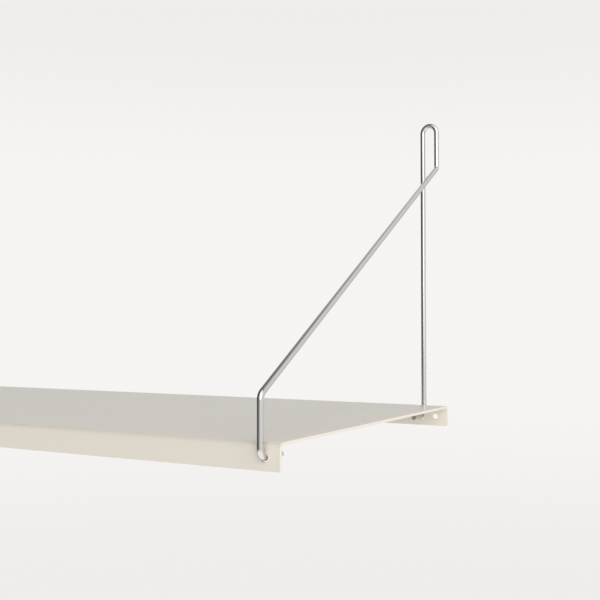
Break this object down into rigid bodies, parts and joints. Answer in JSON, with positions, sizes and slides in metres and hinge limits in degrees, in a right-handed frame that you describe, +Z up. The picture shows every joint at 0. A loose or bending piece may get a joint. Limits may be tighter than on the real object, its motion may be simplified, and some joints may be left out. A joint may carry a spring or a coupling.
{
  "type": "wall shelf",
  "caption": "Wall shelf: a folded sheet-steel panel held at each end by a bracket bent from one length of stainless steel wire, with a hanging loop at the top.",
  "frame": {"origin": "middle of the line between the two wall-screw holes, on the outer face of the panel's back fold", "axes": "+X along the shelf, 0 at mid-length; +Y to the wall, square to the back fold; +Z up"},
  "size_m": [0.6, 0.282, 0.25],
  "materials": {
    "powder_coated_steel": "fine, satin powder coat in a warm off-white",
    "stainless_wire": "bright drawn stainless steel wire"
  },
  "bodies": {
    "root": {"shelf_panel": "powder_coated_steel", "bracket_right": "stainless_wire", "bracket_left": "stainless_wire"}
  },
  "joints": []
}
